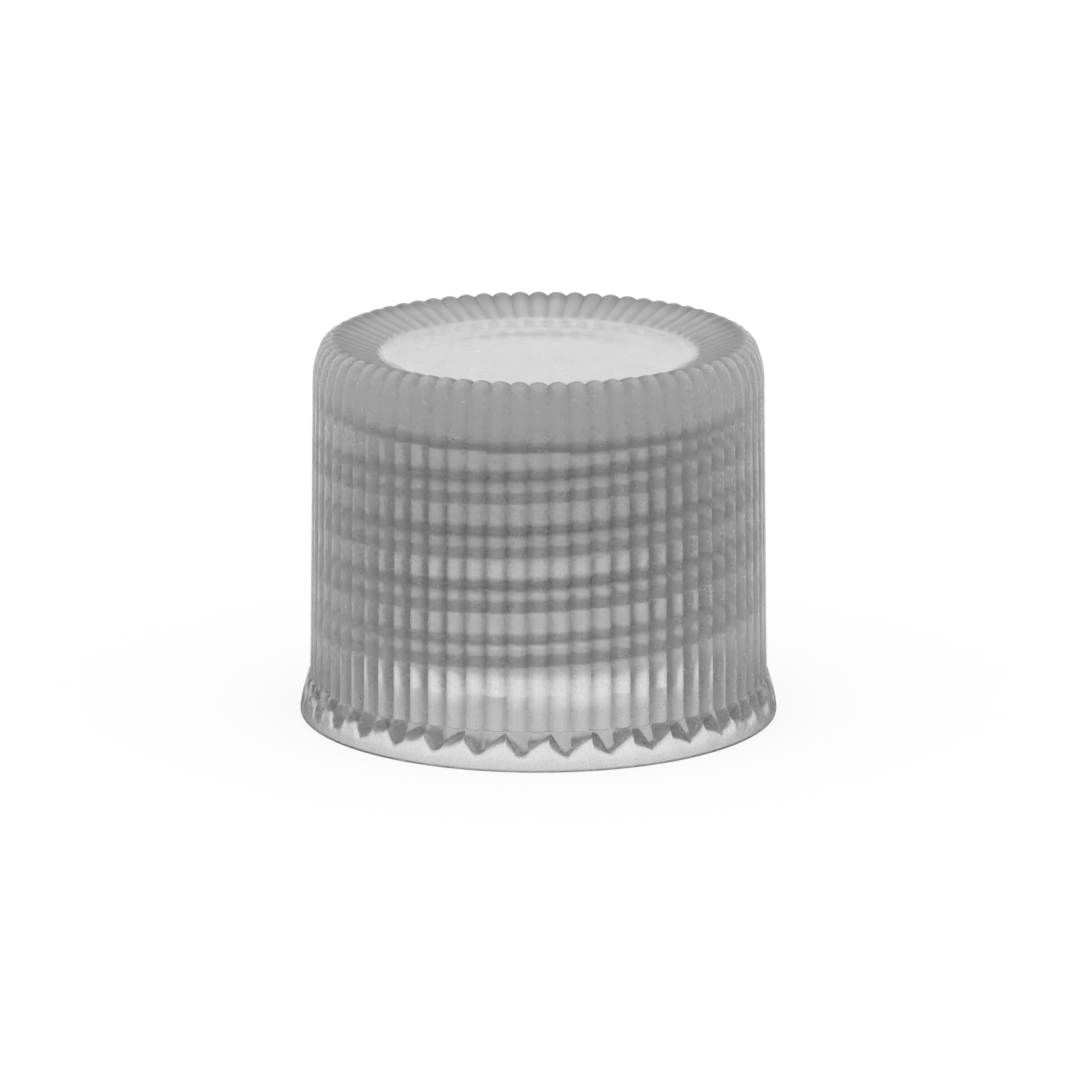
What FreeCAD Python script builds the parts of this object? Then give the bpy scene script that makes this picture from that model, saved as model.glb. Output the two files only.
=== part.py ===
import FreeCAD
import Part
import math
import os

# Screw cap for a test tube, moulded in one piece.
# Millimetres, +Z up, origin at the centre of the base rim, mouth facing down.

# Outer form, measured over the crests of the grip ribs
cap_height = 14.8
body_radius = 8.86
body_draft_deg = 0.8
shoulder_radius = 3.16
shoulder_end_deg = 24.0
rim_radius = 0.68
ring_slope_deg = 19.1

# Grip ribs, laid side by side like bent round bars
rib_count = 68
rib_radius = 0.53
rib_first_deg = 90.0
rib_foot_cover = 0.1
core_lift = 0.15
shoulder_steps = 1
rim_steps = 2

# Dished panel in the middle of the top, inside the ring that the ribs run over
ring_width = 2.7
dish_step = 0.12
dish_cone_width = 0.86
dish_cone_drop = 0.22
panel_thickness = 1.45

# Flared lip round the base
lip_overhang = 0.36
lip_height = 1.5
lip_step_width = 0.07
lip_edge_thickness = 0.34

# Inside
wall_thickness = 1.41
mouth_relief = 0.17
mouth_depth = 3.9

# Saw teeth under the wall, inside the lip
tooth_count = 32
tooth_ring_inset = 0.3
tooth_tip_height = 0.45
tooth_root_height = 1.2
tooth_tip_flat_deg = 0.9
tooth_steep_deg = 3.3
tooth_first_deg = 2.9

# Length by which a tool shape runs past the face that it meets
overrun = 0.5

AXIS_BASE = FreeCAD.Vector(0, 0, 0)
AXIS_UP = FreeCAD.Vector(0, 0, 1)
FULL_TURN = 360
QUARTER_TURN = 90

# Radii that follow from the body
dish_radius = body_radius - ring_width
lip_radius = body_radius + lip_overhang
bore_radius = body_radius - wall_thickness
mouth_bore_radius = bore_radius + mouth_relief


def at(radius, height):
    """A point of the half section that is revolved about the axis."""
    return FreeCAD.Vector(radius, 0, height)


def towards(angle_deg, length):
    """A step in the half section, its angle taken from the radius upwards."""
    angle = math.radians(angle_deg)
    return at(length * math.cos(angle), length * math.sin(angle))


def on_ring(radius, angle_deg, height):
    """A point in space at a radius, an angle round the axis and a height."""
    angle = math.radians(angle_deg)
    return FreeCAD.Vector(radius * math.cos(angle), radius * math.sin(angle), height)


def line(start, end):
    return Part.LineSegment(start, end).toShape()


def polyline(points):
    """Straight edges through the points in turn, left open at the end."""
    return [line(start, end) for start, end in zip(points, points[1:])]


def revolved(edges):
    """The solid that a closed half section makes round the axis."""
    section = Part.Face(Part.Wire(edges))
    return section.revolve(AXIS_BASE, AXIS_UP, FULL_TURN)


def turned(shape, angle_deg):
    """A copy of the shape, turned about the axis."""
    copy = shape.copy()
    copy.rotate(AXIS_BASE, AXIS_UP, angle_deg)
    return copy


def ring_of(shape, count, first_deg):
    """Copies of the shape at even steps round the axis."""
    step = FULL_TURN / count
    return [turned(shape, first_deg + step * index) for index in range(count)]


def wall_line(height):
    """The centre of a rib at a height on the drafted wall."""
    lean = math.tan(math.radians(body_draft_deg))
    return at(body_radius - rib_radius - height * lean, height)


def bend_centres():
    """The centres of the wide bend over the shoulder and of the tight bend over the rim.

    The wide bend starts on the wall, and both run in one direction where they meet.
    """
    shoulder_bend = shoulder_radius - rib_radius
    rim_bend = rim_radius - rib_radius
    gap = towards(shoulder_end_deg, shoulder_bend - rim_bend)
    start = towards(body_draft_deg, shoulder_bend)
    wall_top = wall_line(cap_height - rim_radius - gap.z + start.z)
    shoulder_centre = wall_top - start
    return shoulder_centre, shoulder_centre + gap


def ring_crest(radius):
    """The point on a rib's crest at a radius on the ring, which falls from the rim to the dish."""
    run = bend_centres()[1].x - radius
    return at(radius, cap_height - run * math.tan(math.radians(ring_slope_deg)))


def dish_edge():
    """The foot of the low step at which the ribs end."""
    return ring_crest(dish_radius) - at(0, dish_step)


def dish_floor():
    """The edge of the flat panel, at the foot of the shallow cone inside the step."""
    return dish_edge() - at(dish_cone_width, dish_cone_drop)


def rib_stations():
    """Places along one rib's centre line, each with the angle at which its crest faces.

    The line goes up the drafted wall, bends over the shoulder and more tightly over
    the rim, and runs inwards and down past the edge of the dish.
    """
    shoulder_centre, rim_centre = bend_centres()
    shoulder_bend = shoulder_radius - rib_radius
    rim_bend = rim_radius - rib_radius
    ring_end_deg = QUARTER_TURN + ring_slope_deg
    ring_end = ring_crest(dish_radius - overrun) - towards(ring_end_deg, rib_radius)

    stations = [(wall_line(tooth_root_height + rib_foot_cover), body_draft_deg)]
    stations += [(shoulder_centre + towards(body_draft_deg, shoulder_bend), body_draft_deg)]
    stations += bend_stations(shoulder_centre, shoulder_bend, body_draft_deg, shoulder_end_deg, shoulder_steps)
    stations += bend_stations(rim_centre, rim_bend, shoulder_end_deg, QUARTER_TURN, rim_steps)
    return stations + [(ring_end, ring_end_deg)]


def bend_stations(centre, bend_radius, start_deg, end_deg, steps):
    """Even places along one bend, without its first, which the stretch before it holds."""
    angles = [start_deg + (end_deg - start_deg) * step / steps for step in range(1, steps + 1)]
    return [(centre + towards(angle, bend_radius), angle) for angle in angles]


def rib_section(point, crest_deg):
    """The half round outline of a rib, square to its centre line."""
    side = FreeCAD.Vector(0, rib_radius, 0)
    crown = Part.Arc(point + side, point + towards(crest_deg, rib_radius), point - side).toShape()
    return Part.Wire([crown, line(point - side, point + side)])


def rib():
    """One rib, cut to its sector so that it meets its neighbours in a flat face."""
    bar = Part.makeLoft([rib_section(point, crest_deg) for point, crest_deg in rib_stations()], True, True)
    half_step = FULL_TURN / rib_count / 2
    reach = body_radius + overrun
    corners = [AXIS_BASE, on_ring(reach, -half_step, 0), on_ring(reach, half_step, 0), AXIS_BASE]
    wedge = Part.Face(Part.makePolygon(corners)).extrude(at(0, cap_height + overrun))
    return bar.common(wedge)


def core():
    """The round body that carries the ribs and reaches a little way up into them."""
    places = [point + towards(crest_deg, core_lift) for point, crest_deg in rib_stations()[:-1]]
    foot = places[0]
    edge = dish_edge()
    outline = [at(0, foot.z)] + places + [edge + at(core_lift, 0), at(0, edge.z), at(0, foot.z)]
    return revolved(polyline(outline))


def lip_ring():
    """The ring that the ribs stand on, which steps out past them and flares into the lip."""
    step = at(body_radius + lip_step_width, lip_height)
    outline = [step, at(lip_radius, 0), at(mouth_bore_radius, 0), at(mouth_bore_radius, lip_height)]
    return revolved(polyline(outline + outline[:1]))


def dish():
    """The space over the middle panel, where the ribs end at a low step above a shallow cone."""
    top = cap_height + overrun
    floor = dish_floor()
    outline = [at(0, floor.z), floor, dish_edge(), at(dish_radius, top), at(0, top)]
    return revolved(polyline(outline + outline[:1]))


def hollow():
    """The space inside: a plain mouth, a short cone and the bore up to a flat ceiling."""
    ceiling = dish_floor().z - panel_thickness
    outline = [at(0, -overrun), at(mouth_bore_radius, -overrun), at(mouth_bore_radius, mouth_depth)]
    outline += [at(bore_radius, mouth_depth + mouth_relief), at(bore_radius, ceiling), at(0, ceiling)]
    return revolved(polyline(outline + outline[:1]))


def tooth(inner_radius, outer_radius):
    """One saw tooth hanging from the wall: a steep flank, a flat tip and a long flank."""
    flat_end = tooth_steep_deg + tooth_tip_flat_deg
    pitch = FULL_TURN / tooth_count
    corners = [(0, tooth_root_height), (tooth_steep_deg, tooth_tip_height), (flat_end, tooth_tip_height)]
    corners += [(pitch, tooth_root_height), (pitch, lip_height), (0, lip_height)]
    outlines = []
    for radius in (inner_radius, outer_radius):
        points = [on_ring(radius, angle, height) for angle, height in corners]
        outlines.append(Part.makePolygon(points + points[:1]))
    return Part.makeLoft(outlines, True, True)


def tooth_space():
    """The ring of space between the teeth, bounded outside by the lip."""
    edge_inner = lip_radius - lip_edge_thickness
    outline = [at(mouth_bore_radius - overrun, -overrun), at(edge_inner, -overrun), at(edge_inner, 0)]
    outline += [at(body_radius - tooth_ring_inset, tooth_root_height)]
    outline += [at(mouth_bore_radius - overrun, tooth_root_height)]
    ring = revolved(polyline(outline + outline[:1]))
    teeth = ring_of(tooth(mouth_bore_radius - 2 * overrun, lip_radius), tooth_count, tooth_first_deg)
    return ring.cut(teeth)


def screw_cap():
    """The whole cap: the shell, its ribs, and the dish cut last so that it ends them all."""
    shell = core().fuse(lip_ring()).cut([hollow(), tooth_space()])
    ribs = ring_of(rib(), rib_count, rib_first_deg)
    return shell.multiFuse(ribs).cut(dish()).removeSplitter()


os.makedirs("parts", exist_ok=True)
screw_cap().exportStep("parts/screw_cap.step")
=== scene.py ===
# %% [markdown]
# # A screw cap for a test tube
# The cap is one translucent moulding: a ribbed wall, a shoulder that turns over into a ring round
# a dished panel, a thin flared lip at the base, and a thread on the inside that shows through.
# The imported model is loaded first. Everything here stands in its frame, in metres.

import math

import bpy
import numpy as np
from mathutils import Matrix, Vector


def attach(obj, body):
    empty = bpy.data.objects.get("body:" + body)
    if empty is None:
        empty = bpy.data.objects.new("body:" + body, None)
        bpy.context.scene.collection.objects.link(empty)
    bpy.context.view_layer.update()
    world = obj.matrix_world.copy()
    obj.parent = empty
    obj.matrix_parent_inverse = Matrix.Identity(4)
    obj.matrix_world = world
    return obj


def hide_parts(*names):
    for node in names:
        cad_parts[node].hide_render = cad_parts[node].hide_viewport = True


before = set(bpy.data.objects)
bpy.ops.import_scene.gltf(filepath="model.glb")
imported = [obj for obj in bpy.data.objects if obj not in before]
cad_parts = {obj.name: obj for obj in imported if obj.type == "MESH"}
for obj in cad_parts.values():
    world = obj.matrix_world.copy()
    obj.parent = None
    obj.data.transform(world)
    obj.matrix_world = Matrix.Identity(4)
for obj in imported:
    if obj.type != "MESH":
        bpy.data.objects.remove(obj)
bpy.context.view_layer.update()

# %% [markdown]
# ## The camera
# A long lens looks down on the cap by about a sixth of a right angle, from far away, and so the
# cap's verticals stay upright. The camera is placed along one line through the cap's middle and
# then slid a hair sideways and down, which moves the cap in the picture without turning it.

# %% Place the camera
MM = 0.001
camera_elevation = math.radians(14.2)
camera_distance = 330 * MM
camera_target = Vector((0, 0, 7.05 * MM))
camera_slide_right = -0.096 * MM
camera_slide_up = -0.150 * MM

camera_back = Vector((0, -math.cos(camera_elevation), math.sin(camera_elevation)))
camera_up = Vector((0, math.sin(camera_elevation), math.cos(camera_elevation)))
camera_right = Vector((1, 0, 0))

camera_data = bpy.data.cameras.new("camera")
camera_data.lens = 287.4
camera_data.sensor_width = 36
camera_data.clip_end = 20
camera = bpy.data.objects.new("camera", camera_data)
bpy.context.scene.collection.objects.link(camera)
camera.location = (
    camera_target
    + camera_back * camera_distance
    + camera_right * camera_slide_right
    + camera_up * camera_slide_up
)
camera.rotation_euler = (math.pi / 2 - camera_elevation, 0, 0)
bpy.context.scene.camera = camera
print("camera at", [round(v, 4) for v in camera.location])

# %% [markdown]
# ## The half section
# The cap is round, so its form is first a line in a plane through the axis: over the panel, the
# ring, the rim, the shoulder and the wall, round the lip, and back up inside. One circle primitive
# gives as many points as that line needs, and each is moved to its place. A number with each
# point says how deep the ribs are cut there, so one list holds the whole form. Radii and heights
# are written in millimetres.

# %% Measures of the outside
cap_height = 14.8
body_radius = 8.86
body_draft = math.radians(0.8)
shoulder_radius = 3.16
shoulder_end = math.radians(24)
rim_radius = 0.68
ring_slope = math.radians(20.5)
dish_radius = 6.16
dish_step = 0.12
dish_floor_radius = 5.3
dish_floor_height = 13.9
wall_foot_height = 1.5


def bend(centre, radius, start, end, steps):
    """Points along one bend of the section, its angle taken from the radius upwards."""
    angles = np.linspace(start, end, steps + 1)
    return [(centre[0] + radius * math.cos(a), centre[1] + radius * math.sin(a), a) for a in angles]


def bend_centres():
    """The centres of the wide shoulder bend and of the tight rim bend, which meet in one direction."""
    gap = shoulder_radius - rim_radius
    rim_height = cap_height - rim_radius
    shoulder_height = rim_height - gap * math.sin(shoulder_end)
    top = shoulder_height + shoulder_radius * math.sin(body_draft)
    start_radius = body_radius - top * math.tan(body_draft)
    shoulder_centre = (start_radius - shoulder_radius * math.cos(body_draft), shoulder_height)
    rim_centre = (shoulder_centre[0] + gap * math.cos(shoulder_end), rim_height)
    return shoulder_centre, rim_centre


shoulder_centre, rim_centre = bend_centres()
print("rim crest at radius", round(rim_centre[0], 3), "mm")
print("shoulder from height", round(shoulder_centre[1], 3), "mm")

# %% [markdown]
# The outside runs from the middle of the panel to the foot of the wall. The ribs run over the
# ring, the rim, the shoulder and the wall, and there the line is their crest. Each point carries
# the direction in which the surface faces, because the grooves are later cut against it.

# %% Points of the outside
def outer_line():
    """Radius, height, facing angle and rib share of each point, from the panel's middle outwards."""
    facing_up = math.pi / 2
    slope_angle = facing_up + ring_slope
    rim = bend(rim_centre, rim_radius, slope_angle, shoulder_end, 9)
    shoulder = bend(shoulder_centre, shoulder_radius, shoulder_end, body_draft, 6)[1:]
    ring_start = rim[0]

    def ring_height(radius):
        return ring_start[1] - (ring_start[0] - radius) * math.tan(ring_slope)

    edge = ring_height(dish_radius)
    line = [(0, dish_floor_height, facing_up, 0), (2.6, dish_floor_height, facing_up, 0)]
    line += [(4.4, dish_floor_height, facing_up, 0), (dish_floor_radius, dish_floor_height, facing_up, 0)]
    line += [(5.5, dish_floor_height + 0.03, facing_up, 0), (5.9, edge - dish_step - 0.06, facing_up, 0)]
    line += [(6.1, edge - dish_step, facing_up, 0), (6.15, edge - 0.05, slope_angle, 0.5)]
    line += [(radius, ring_height(radius) - drop, slope_angle, share)
             for radius, drop, share in ((6.22, 0.0, 1), (6.45, 0, 1), (6.8, 0, 1), (7.2, 0, 1))]
    line += [point + (1,) for point in rim + shoulder]
    wall_heights = np.linspace(shoulder[-1][1], wall_foot_height, 6)[1:]
    line += [(body_radius - z * math.tan(body_draft), z, body_draft, 1) for z in wall_heights]
    return line


# %% [markdown]
# The lip is a thin skirt that flares out under the wall, with a rounded lower edge. Inside it the
# wall ends in saw teeth, whose undersides slope down a little inwards, and from there the plain
# mouth of the bore goes up to the thread. The ceiling closes the section, with a rounded corner.
# The ribs fade out down the lip, so its points carry a share of them. The fifth number says how
# far a point follows the saw teeth.

# %% Points of the lip and the inside
bore_radius = 7.45
mouth_radius = 7.62
tooth_tip_height = 0.45
tooth_root_height = 1.3
thread_foot_height = 2.6
thread_head_height = 12.1
ceiling_height = 12.45


def lip_line():
    """Outside of the lip, its lower edge and its inner side up to the teeth."""
    outside = [(8.90, 1.49, 1), (8.945, 1.42, 1), (8.97, 1.30, 0.9)]
    outside += [(9.04, 1.07, 0.65), (9.12, 0.76, 0.25), (9.18, 0.44, 0)]
    edge = [(9.215, 0.24), (9.22, 0.12), (9.20, 0.04), (9.15, 0.0), (8.98, 0.0), (8.93, 0.03)]
    inner = [(8.90, 0.12, 0.0), (8.87, 0.30, 0.0)]
    line = [(radius, z, 0, share, 0) for radius, z, share in outside]
    line += [(radius, z, 0, 0, 0) for radius, z in edge]
    line += [(radius, z, 0, 0, share) for radius, z, share in inner]
    return line


def inside_line():
    """From the teeth at the lip's inner side up the plain mouth to the thread."""
    root = tooth_root_height
    teeth = [(8.84, 0.62, 0.3), (8.80, 1.2, 0.92), (8.72, root + 0.08, 1), (8.3, root, 1)]
    teeth += [(7.8, root - 0.12, 1), (7.66, root - 0.12, 1)]
    teeth += [(mouth_radius, root - 0.04, 1), (mouth_radius, root + 0.03, 1)]
    line = [(radius, z, 0, 0, share) for radius, z, share in teeth]
    line += [(mouth_radius, z, 0, 0, 0) for z in (2.0, thread_foot_height)]
    return line


def ceiling_line():
    """From the top of the thread to the middle of the ceiling."""
    corner = [(bore_radius, thread_head_height), (7.42, 12.2), (7.35, 12.31), (7.24, 12.4), (7.1, 12.44)]
    flat = [(radius, ceiling_height) for radius in (6.9, 4.6, 2.2, 0)]
    return [(radius, z, 0, 0, 0) for radius, z in corner + flat]


lower_line = [point + (0,) for point in outer_line()] + lip_line() + inside_line()
upper_line = ceiling_line()
print("section points:", len(lower_line), "below the thread,", len(upper_line), "above it")

# %% [markdown]
# ## Turning the section
# Spin turns the line round the axis. The step is a fine one, 544, because that is 8 columns for
# each of the 68 ribs and 17 for each of the 32 teeth, so both patterns fall on the columns.
# A circle primitive has its points in a ring, so the edge that closes the ring is deleted first.

# %% Helpers for edit mode
rib_count = 68
tooth_count = 32
columns = 544


def select_only(obj):
    """Leaves one object selected and active, because an operator acts on all that is selected."""
    bpy.ops.object.select_all(action="DESELECT")
    obj.select_set(True)
    bpy.context.view_layer.objects.active = obj


def places(obj):
    """The vertices' places as an array, in millimetres."""
    flat = np.zeros(len(obj.data.vertices) * 3)
    obj.data.vertices.foreach_get("co", flat)
    return flat.reshape(-1, 3) / MM


def put_places(obj, points):
    """Moves the vertices to places given in millimetres."""
    obj.data.vertices.foreach_set("co", (points * MM).ravel())
    obj.data.update()


def give_mask(obj, name, values):
    """Keeps one number per vertex with the mesh, for the material to read."""
    mask = obj.data.attributes.new(name, "FLOAT", "POINT")
    mask.data.foreach_set("value", np.asarray(values, np.float32))


def section_object(name, line):
    """A chain of edges through the section's points, made from a circle whose last edge is deleted."""
    bpy.ops.object.select_all(action="DESELECT")
    bpy.ops.mesh.primitive_circle_add(vertices=len(line), radius=body_radius * MM)
    chain = bpy.context.object
    chain.name = name
    put_places(chain, np.array([(point[0], 0, point[1]) for point in line], float))
    last = len(line) - 1
    bpy.ops.object.mode_set(mode="EDIT")
    bpy.ops.mesh.select_all(action="DESELECT")
    bpy.ops.object.mode_set(mode="OBJECT")
    for edge in chain.data.edges:
        edge.select = set(edge.vertices) == {0, last}
    bpy.ops.object.mode_set(mode="EDIT")
    bpy.ops.mesh.select_mode(type="EDGE")
    bpy.ops.mesh.delete(type="EDGE")
    bpy.ops.object.mode_set(mode="OBJECT")
    return chain


# %% Spin the two lines
def spun(name, line):
    """The skin that a section line makes round the axis."""
    skin = section_object(name, line)
    bpy.ops.object.mode_set(mode="EDIT")
    bpy.ops.mesh.select_mode(type="VERT")
    bpy.ops.mesh.select_all(action="SELECT")
    bpy.ops.mesh.spin(steps=columns, angle=2 * math.pi, center=(0, 0, 0), axis=(0, 0, 1))
    bpy.ops.mesh.select_all(action="SELECT")
    bpy.ops.mesh.remove_doubles(threshold=0.004 * MM)
    bpy.ops.object.mode_set(mode="OBJECT")
    return skin


body = spun("cap_skin", lower_line)
ceiling = spun("ceiling_skin", upper_line)
corner_points = places(ceiling)
# The ceiling's rounded corner shares the upper flanks' mask, so it gets their painted shade and roughness.
give_mask(ceiling, "upper_flank", np.hypot(corner_points[:, 0], corner_points[:, 1]) > 7)
print("outside and mouth:", len(body.data.vertices), "points; ceiling:", len(ceiling.data.vertices), "points")

# %% [markdown]
# ## Cutting the ribs
# The grip ribs are half round bars side by side. Each column of points between two crests is
# pressed in by as much as a bar of 0.5 mm radius falls away there, against the direction in which
# the section faces. The same rule serves the wall, the shoulder, the rim and the ring, where the
# bars crowd together and so the grooves get shallower by themselves. A mask keeps where the
# grooves are, and the material paints shade into them with it.

# %% Press in the grooves
rib_bar_radius = 0.5


def nearest_rows(points, line):
    """For each vertex the section point that it came from, by radius and height."""
    flat = np.array([(row[0], row[1]) for row in line], float)
    radius = np.hypot(points[:, 0], points[:, 1])
    rows = np.empty(len(points), int)
    for start in range(0, len(points), 20000):
        part = slice(start, start + 20000)
        gap = (radius[part, None] - flat[:, 0]) ** 2 + (points[part, 2][:, None] - flat[:, 1]) ** 2
        rows[part] = gap.argmin(axis=1)
    return rows


def press_grooves(points, rows, line):
    """Moves points between the crests inwards by the fall of a round bar."""
    table = np.array(line, float)
    facing = table[rows, 2]
    share = table[rows, 3]
    angle = np.arctan2(points[:, 1], points[:, 0])
    radius = np.hypot(points[:, 0], points[:, 1])
    step = 2 * math.pi / rib_count
    from_crest = (angle + step / 2) % step - step / 2
    across = radius * np.sin(from_crest)
    fall = (rib_bar_radius - np.sqrt(rib_bar_radius ** 2 - across ** 2 * (share > 0))) * share
    new_radius = radius - fall * np.cos(facing)
    points[:, 0] = new_radius * np.cos(angle)
    points[:, 1] = new_radius * np.sin(angle)
    points[:, 2] -= fall * np.sin(facing)
    return fall.max()


# How strong the painted shade in the grooves is, by height on the wall and on the ring.
groove_shade_heights = (3.3, 4.0, 11.4, 12.8, 14.3, 14.7)
groove_shade_strengths = (0.6, 1, 1, 0.08, 0.12, 0.8)
groove_shade_on_ring = 0.75


def groove_mask(points, rows, line):
    """0 on a rib's crest and 1 in the bottom of a groove, only where ribs run."""
    share = np.array(line, float)[rows, 3]
    angle = np.arctan2(points[:, 1], points[:, 0])
    step = 2 * math.pi / rib_count
    from_crest = np.abs((angle + step / 2) % step - step / 2) / (step / 2)
    on_wall = np.interp(points[:, 2], groove_shade_heights, groove_shade_strengths)
    on_ring = np.hypot(points[:, 0], points[:, 1]) < rim_centre[0]
    return share * np.where(on_ring, groove_shade_on_ring, on_wall) * np.clip((from_crest - 0.3) / 0.5, 0, 1)


body_points = places(body)
body_rows = nearest_rows(body_points, lower_line)
give_mask(body, "groove", groove_mask(body_points, body_rows, lower_line))
print("deepest groove:", round(press_grooves(body_points, body_rows, lower_line), 3), "mm")

# %% [markdown]
# ## The saw teeth
# Under the wall, hidden behind the lip, a ring of teeth leans one way: steep on one side, easy on
# the other. They are made by sliding the points under the wall up and down. Points between the
# lip's edge and the teeth follow in part, so that the skin stays smooth. Masks then mark the
# teeth's faces, the ring, the panel and the lip for the material.

# %% Slide the teeth
tooth_steep_share = 0.31
tooth_tip_angle = math.radians(265.4)
tooth_softness = 0.5


def tooth_drop(angle):
    """0 between two teeth and 1 at a tip, with a little roundness at both."""
    step = 2 * math.pi / tooth_count
    along = ((angle - tooth_tip_angle) / step + tooth_steep_share) % 1
    steep = along / tooth_steep_share
    easy = (1 - along) / (1 - tooth_steep_share)
    rise = np.where(along < tooth_steep_share, steep, easy)
    soft = 0.5 - 0.5 * np.cos(math.pi * rise)
    return rise * (1 - tooth_softness) + soft * tooth_softness


tooth_share = np.array(lower_line, float)[body_rows, 4]
body_angle = np.arctan2(body_points[:, 1], body_points[:, 0])
tooth_depth = tooth_root_height - tooth_tip_height
body_points[:, 2] -= tooth_share * tooth_depth * tooth_drop(body_angle)
put_places(body, body_points)
outer_radius = np.hypot(body_points[:, 0], body_points[:, 1])
# The teeth's faces are made more than half darker in the material: painted shade.
give_mask(body, "tooth_face", (tooth_share == 1) & (outer_radius > mouth_radius + 0.02))
# The ring's top is made a third darker and matt in the material; the darkening is painted shade.
over_top = np.interp(outer_radius, (dish_radius - 0.1, dish_radius), (0, 1))
give_mask(body, "ring_top", over_top * np.interp(outer_radius, (rim_centre[0], rim_centre[0] + 0.2), (1, 0)))
give_mask(body, "panel", (body_points[:, 2] > ceiling_height) & (outer_radius < dish_radius))
give_mask(body, "lip", (body_points[:, 2] < wall_foot_height) & (outer_radius > body_radius))
print("teeth:", tooth_count, "each", round(tooth_depth, 2), "mm deep")

# %% [markdown]
# ## The thread
# The thread is a ridge that climbs one pitch for each turn. A Screw modifier sweeps a short
# upright line, one pitch long, up and round six times, so the rows of points run along the thread
# and its flanks stay crisp. The points are then moved inwards to the ridge's form, which fades at
# both ends, and what stands past the zone is flattened on its border.

# %% Sweep the thread zone
thread_pitch = 2.117
thread_crest_radius = 6.75
thread_front_height = 4.37
thread_turns = 6
thread_start_turn = 130 / 360
thread_end_turn = 1460 / 360
thread_fade_turn = 25 / 360
front_turn = 270 / 360
ridge_flank = [(0.0, 0), (0.1, 0), (0.17, 0), (0.215, 0.04), (0.25, 0.22)]
ridge_flank += [(0.30, 0.50), (0.35, 0.78), (0.385, 0.95), (0.41, 1)]
ridge_form = ridge_flank + [(0.5, 1)] + [(1 - along, height) for along, height in reversed(ridge_flank)]
ridge_middle = 0.5
# Where along one pitch the upper flank is rough and painted nearly black as shade, and where the lower flank
# is rough.
upper_frost_and_shade_places = (0.54, 0.59, 0.81, 0.86)
upper_frost_and_shade_amounts = (0, 1, 1, 0)
lower_rough_places = (0.17, 0.22, 0.38, 0.42)
lower_rough_amounts = (0, 1, 1, 0)


def thread_skin():
    """A plain tube whose rows climb like the thread."""
    base = thread_front_height - thread_pitch * (front_turn + ridge_middle + 1)
    line = [(bore_radius, base + thread_pitch * along) for along, _ in ridge_form]
    tube = section_object("thread_skin", line)
    screw = tube.modifiers.new("sweep", "SCREW")
    screw.angle = 2 * math.pi
    screw.steps = columns
    screw.render_steps = columns
    screw.iterations = thread_turns
    screw.screw_offset = thread_pitch * MM
    screw.use_merge_vertices = False
    select_only(tube)
    bpy.ops.object.modifier_apply(modifier="sweep")
    return tube


thread = thread_skin()
thread_points = places(thread)
zone_heights = [round(end, 2) for end in (thread_points[:, 2].min(), thread_points[:, 2].max())]
print("thread zone:", len(thread_points), "points, lowest and highest:", zone_heights)

# %% Raise the ridge and trim the zone
def smooth_step(value):
    """0 below 0, 1 above 1 and an even curve between."""
    held = np.clip(value, 0, 1)
    return held * held * (3 - 2 * held)


def mouth_wall(height):
    """The wall's radius, which narrows softly from the plain mouth to the thread."""
    return mouth_radius - (mouth_radius - bore_radius) * smooth_step((height - 3.3) / 0.9)


def raise_ridge(points):
    """Moves the tube's points to the ridge, and flattens what is past the zone on its borders."""
    angle = np.arctan2(points[:, 1], points[:, 0])
    turn = (angle / (2 * math.pi)) % 1
    climb = (points[:, 2] - thread_front_height) / thread_pitch + front_turn + ridge_middle - turn
    whole = np.floor(climb + 1e-4)
    along = np.clip(climb - whole, 0, 1)
    run = turn + whole
    height_share = np.interp(along, *zip(*ridge_form))
    fade_in = smooth_step((run - thread_start_turn) / thread_fade_turn)
    fade_out = smooth_step((thread_end_turn - run) / thread_fade_turn)
    ridge = (bore_radius - thread_crest_radius) * height_share * fade_in * fade_out
    held = np.clip(points[:, 2], thread_foot_height, thread_head_height)
    radius = mouth_wall(held) - ridge
    present = fade_in * fade_out
    upper = np.interp(along, upper_frost_and_shade_places, upper_frost_and_shade_amounts) * present
    # The rows flattened at the zone's top join the ceiling's corner and get its painted shade too.
    upper = np.maximum(upper, held > thread_head_height - 0.05)
    lower = np.interp(along, lower_rough_places, lower_rough_amounts) * present
    return np.column_stack((radius * np.cos(angle), radius * np.sin(angle), held)), upper, lower


thread_points, upper_flank, lower_flank = raise_ridge(thread_points)
give_mask(thread, "upper_flank", upper_flank)
give_mask(thread, "lower_flank", lower_flank)
put_places(thread, thread_points)
thread_radius = np.hypot(thread_points[:, 0], thread_points[:, 1])
print("thread ridge from radius", round(thread_radius.min(), 2), "to", round(thread_radius.max(), 2), "mm")

# %% [markdown]
# ## One closed skin
# The three skins are joined and their shared borders merged, which makes one closed shell, as the
# moulding is. A see-through material needs that: each ray has to know when it is inside. Faces
# that were flattened on a border have no area and are dissolved, and the normals are then turned
# outwards.

# %% Join, merge and smooth
bpy.ops.object.select_all(action="DESELECT")
for skin in (body, ceiling, thread):
    skin.select_set(True)
bpy.context.view_layer.objects.active = body
bpy.ops.object.join()
cap = body
cap.name = "screw_cap_moulding"
cap.data.name = "screw_cap_moulding"
bpy.ops.object.mode_set(mode="EDIT")
bpy.ops.mesh.select_all(action="SELECT")
bpy.ops.mesh.remove_doubles(threshold=0.003 * MM)
bpy.ops.mesh.dissolve_degenerate(threshold=0.002 * MM)
bpy.ops.mesh.select_all(action="SELECT")
bpy.ops.mesh.normals_make_consistent(inside=False)
bpy.ops.mesh.select_all(action="DESELECT")
bpy.ops.mesh.select_mode(type="EDGE")
bpy.ops.mesh.select_non_manifold()
bpy.ops.object.mode_set(mode="OBJECT")
open_edges = sum(edge.select for edge in cap.data.edges)
triangles = sum(len(face.vertices) - 2 for face in cap.data.polygons)
select_only(cap)
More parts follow.
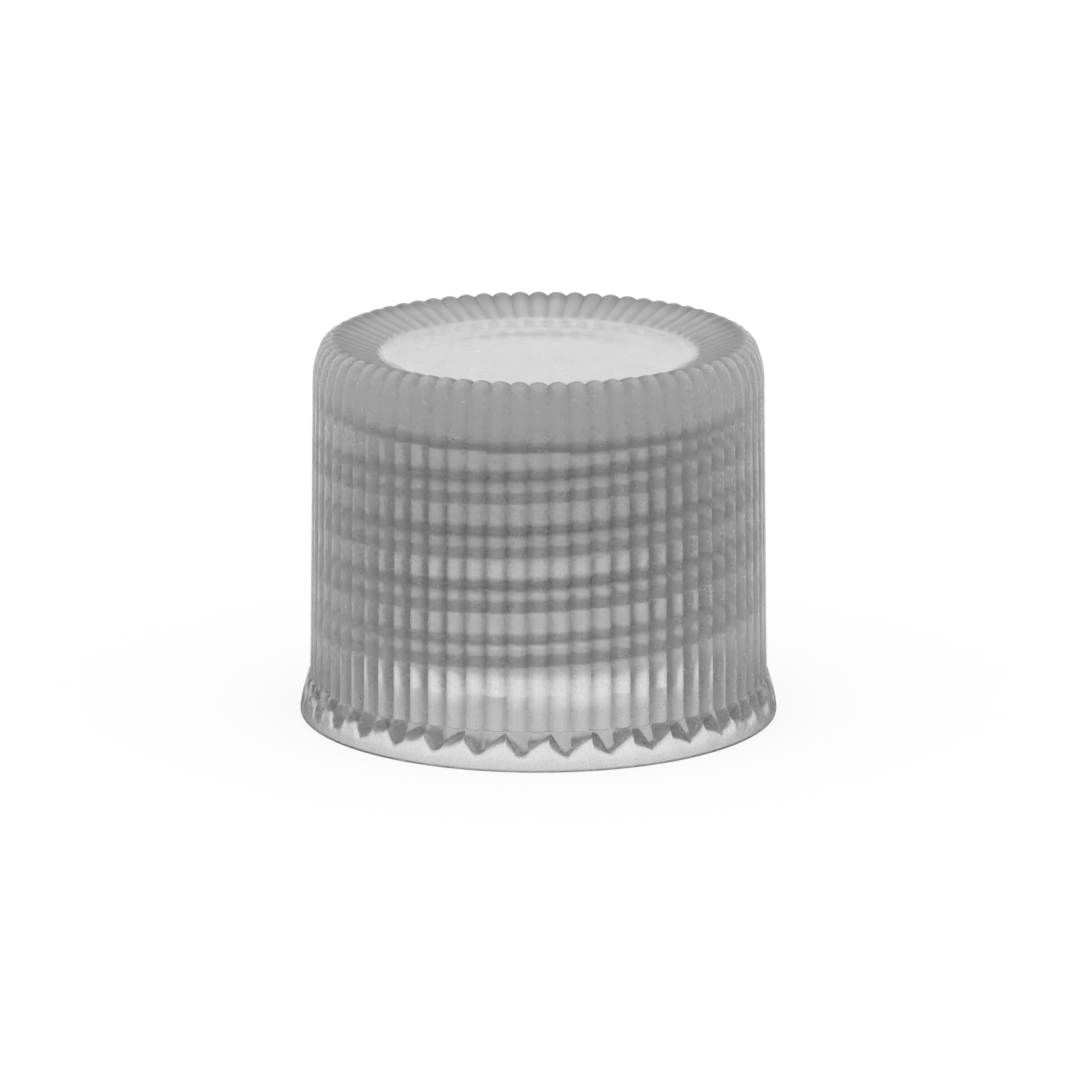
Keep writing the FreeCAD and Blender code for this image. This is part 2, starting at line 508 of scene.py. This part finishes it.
bpy.ops.object.shade_smooth_by_angle(angle=math.radians(40))
print("moulding:", len(cap.data.vertices), "points,", triangles, "triangles,", open_edges, "open edges")

# %% [markdown]
# ## The plastic
# The real cap is moulded from a natural, slightly milky plastic. Light goes through it and is bent
# at each rib and thread flank, and the milkiness scatters it on the way, so thick places such as
# the shoulder come out as an even grey. A surface that mostly refracts and is matt for the rest
# gives that, with one volume scatter inside that holds the milkiness.

# %% Start the moulding's material
refraction = 1.49
clear_share = 0.91
scatterings_per_metre = 225
forward_scatter = 0.3
scatterings_followed = 6

plastic = bpy.data.materials.new("natural_plastic_moulding")
plastic.use_nodes = True
nodes = plastic.node_tree.nodes
links = plastic.node_tree.links
shader = nodes["Principled BSDF"]
shader.inputs["IOR"].default_value = refraction
shader.inputs["Transmission Weight"].default_value = clear_share

haze = nodes.new("ShaderNodeVolumeScatter")
haze.inputs["Color"].default_value = (1, 1, 1, 1)
haze.inputs["Density"].default_value = scatterings_per_metre
haze.inputs["Anisotropy"].default_value = forward_scatter
links.new(haze.outputs["Volume"], nodes["Material Output"].inputs["Volume"])
bpy.context.scene.cycles.volume_bounces = scatterings_followed
print("milkiness: one scattering in", round(1 / (scatterings_per_metre * MM), 1), "mm on average")

# %% [markdown]
# Nothing on the real moulding is one flat tone. Short helpers build the sums: a Math node, a mask
# that the mesh keeps for each vertex, a tone made darker by a mask, and noise in the object's own
# space.

# %% Helpers for the nodes
def value_of(operation, first, second):
    """A Math node on two inputs, each a socket or a number."""
    node = nodes.new("ShaderNodeMath")
    node.operation = operation
    for socket, given in zip(node.inputs, (first, second)):
        if isinstance(given, (int, float)):
            socket.default_value = given
        else:
            links.new(given, socket)
    return node.outputs[0]


def mask_of(name):
    """The number that the mesh keeps for each vertex under a name."""
    node = nodes.new("ShaderNodeAttribute")
    node.attribute_name = name
    return node.outputs["Fac"]


def shaded(tone, name, amount):
    """The tone made darker by an amount where the mask is 1."""
    kept = value_of("SUBTRACT", 1.0, value_of("MULTIPLY", mask_of(name), amount))
    return value_of("MULTIPLY", tone, kept)


def noise_of(scale, detail):
    """Even procedural noise in the object's own space."""
    place = nodes.new("ShaderNodeTexCoord")
    node = nodes.new("ShaderNodeTexNoise")
    node.inputs["Scale"].default_value = scale
    node.inputs["Detail"].default_value = detail
    links.new(place.outputs["Object"], node.inputs["Vector"])
    return node.outputs["Fac"]


# %% [markdown]
# The tone starts near white with faint, uneven mottling, as the pellets never mix quite evenly.
# Masks then darken it part by part, and most of that is painted shade, where the real plastic is
# dark because it turns the light aside: the thread's upper flanks and the corner of the ceiling
# nearly to black, as the dark bands, the faces of the teeth by more than half, the ring by a third
# and the rib grooves by up to a third. The lip is made darker by a fifth.

# %% The tone
# How much each mask darkens the tone; all but the lip's darkening is painted shade.
shades = {"groove": 0.32, "upper_flank": 0.95, "tooth_face": 0.6, "lip": 0.2, "ring_top": 0.33}
mottle_per_metre = 700
grain_per_metre = 5000
plain_tone = 0.97
mottle_strength = 0.12

mottle = noise_of(mottle_per_metre, 3)
fine = noise_of(grain_per_metre, 2)
uneven = value_of("MULTIPLY", value_of("SUBTRACT", mottle, 0.5), mottle_strength)
tone = value_of("ADD", plain_tone, uneven)
for name, amount in shades.items():
    tone = shaded(tone, name, amount)
colour = nodes.new("ShaderNodeCombineColor")
for channel in ("Red", "Green", "Blue"):
    links.new(tone, colour.inputs[channel])
links.new(colour.outputs["Color"], shader.inputs["Base Color"])
print("masks that darken the tone:", ", ".join(shades))

# %% [markdown]
# The skin is satin, with a grain of a fifth of a millimetre and finer. The thread's flanks and the
# ring are rougher and blur what is seen through them. The panel in the middle looks polished, and
# a thin glossy coat that mirrors the bright backdrop stands for that.

# %% The grain, the matte places and the polished panel
satin_roughness = 0.21
grain_roughness = 0.1
matte_roughness = 0.4
coat_roughness = 0.12
coat_refraction = 1.8
bump_strength = 0.25
bump_height = 0.02 * MM

flanks = value_of("MAXIMUM", mask_of("upper_flank"), mask_of("lower_flank"))
matte = value_of("MAXIMUM", flanks, mask_of("ring_top"))
grain = value_of("ADD", satin_roughness, value_of("MULTIPLY", fine, grain_roughness))
rough = value_of("ADD", grain, value_of("MULTIPLY", matte, matte_roughness))
links.new(rough, shader.inputs["Roughness"])
links.new(mask_of("panel"), shader.inputs["Coat Weight"])
shader.inputs["Coat Roughness"].default_value = coat_roughness
shader.inputs["Coat IOR"].default_value = coat_refraction
bump = nodes.new("ShaderNodeBump")
bump.inputs["Strength"].default_value = bump_strength
bump.inputs["Distance"].default_value = bump_height
links.new(value_of("ADD", fine, mottle), bump.inputs["Height"])
links.new(bump.outputs["Normal"], shader.inputs["Normal"])
print("nodes in the plastic:", len(nodes))

# %% [markdown]
# The finished skin takes the material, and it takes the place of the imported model's plain body.

# %% Put the material on and replace the plain body
cap.data.materials.clear()
cap.data.materials.append(plastic)
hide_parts("screw_cap")
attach(cap, "root")
masks = sorted(mask.name for mask in cap.data.attributes if mask.data_type == "FLOAT")
print("masks kept with the mesh:", masks)

# %% [markdown]
# ## The floor and the light
# The cap stands on a matt floor that looks white. The backdrop behind the cap is bright and the
# sides of the studio are dim. Both show in the plastic: rays that go straight through the wall
# come out towards the backdrop, and rays that the wall turns aside come out towards the dim
# sides, which draws the dark grooves to the left and right.

# %% The directions that are lit
dim_share = 0.1
lit_from = 0.28
lit_fully = 0.6
soft_light = 2.5
floor_albedo = 0.1
floor_seen_through = 0.92
floor_under_cap = 1.0
floor_white = 1.06
floor_glow = floor_white - floor_albedo * soft_light
under_cap_radius = 8 * MM
past_cap_radius = 9.5 * MM


def lit_share(value, low, high):
    """Low where the value is on the dim side, high on the lit side and an even change between."""
    node = nodes.new("ShaderNodeMapRange")
    node.interpolation_type = "SMOOTHSTEP"
    node.inputs["From Min"].default_value = lit_from
    node.inputs["From Max"].default_value = lit_fully
    node.inputs["To Min"].default_value = low
    node.inputs["To Max"].default_value = high
    links.new(value, node.inputs["Value"])
    return node.outputs["Result"]


# %% [markdown]
# Most of the floor's white is its own glow to the camera, and the soft light on it gives the rest.
# Seen through the plastic, its glow is a painted pool of light: bright behind the cap and under it,
# and dim to the sides.

# %% The floor
bpy.ops.object.select_all(action="DESELECT")
bpy.ops.mesh.primitive_plane_add(size=4)
floor = bpy.context.object
floor.name = "floor"
floor_paint = bpy.data.materials.new("floor_paint")
floor_paint.use_nodes = True
nodes = floor_paint.node_tree.nodes
links = floor_paint.node_tree.links
paper = nodes["Principled BSDF"]
paper.inputs["Base Color"].default_value = (floor_albedo, floor_albedo, floor_albedo, 1)
paper.inputs["Roughness"].default_value = 1.0
paper.inputs["Specular IOR Level"].default_value = 0.0

place = nodes.new("ShaderNodeTexCoord")
flat = nodes.new("ShaderNodeVectorMath")
flat.operation = "NORMALIZE"
links.new(place.outputs["Object"], flat.inputs[0])
floor_way = nodes.new("ShaderNodeSeparateXYZ")
links.new(flat.outputs["Vector"], floor_way.inputs["Vector"])
back_glow = lit_share(floor_way.outputs["Y"], dim_share * floor_seen_through, floor_seen_through)

# %% The floor under the cap, and what each kind of ray sees
reach = nodes.new("ShaderNodeVectorMath")
reach.operation = "LENGTH"
links.new(place.outputs["Object"], reach.inputs[0])
near = nodes.new("ShaderNodeMapRange")
near.interpolation_type = "SMOOTHSTEP"
near.inputs["From Min"].default_value = under_cap_radius
near.inputs["From Max"].default_value = past_cap_radius
near.inputs["To Min"].default_value = floor_under_cap
near.inputs["To Max"].default_value = 0.0
links.new(reach.outputs["Value"], near.inputs["Value"])

rays = nodes.new("ShaderNodeLightPath")
through = value_of("MAXIMUM", rays.outputs["Is Transmission Ray"], rays.outputs["Is Glossy Ray"])
through_glow = value_of("MULTIPLY", through, value_of("MAXIMUM", back_glow, near.outputs["Result"]))
direct_glow = value_of("MULTIPLY", rays.outputs["Is Camera Ray"], floor_glow)
paper.inputs["Emission Color"].default_value = (1, 1, 1, 1)
links.new(value_of("ADD", through_glow, direct_glow), paper.inputs["Emission Strength"])
floor.data.materials.append(floor_paint)
print("floor:", len(nodes), "nodes, glow to the camera", round(floor_glow, 3))

# %% [markdown]
# The sky is white behind the cap and above it and dim elsewhere. Matt surfaces get an even, soft
# light from all round instead, two and a half times as strong as that white.

# %% The sky
sky_height_share = 0.7

world = bpy.data.worlds.new("studio")
bpy.context.scene.world = world
world.use_nodes = True
nodes = world.node_tree.nodes
links = world.node_tree.links
way = nodes.new("ShaderNodeTexCoord")
parts = nodes.new("ShaderNodeSeparateXYZ")
links.new(way.outputs["Generated"], parts.inputs["Vector"])
behind = value_of("ADD", parts.outputs["Y"], value_of("MULTIPLY", parts.outputs["Z"], sky_height_share))
sky = lit_share(behind, dim_share, 1.0)
sky_rays = nodes.new("ShaderNodeLightPath")
lit = nodes.new("ShaderNodeMix")
lit.data_type = "FLOAT"
links.new(sky_rays.outputs["Is Diffuse Ray"], lit.inputs["Factor"])
links.new(sky, lit.inputs["A"])
lit.inputs["B"].default_value = soft_light
background = nodes["Background"]
background.inputs["Color"].default_value = (1, 1, 1, 1)
links.new(lit.outputs["Result"], background.inputs["Strength"])
bpy.context.scene.view_settings.view_transform = "Standard"
print("sky: white behind and above,", dim_share, "of that to the sides and in front")
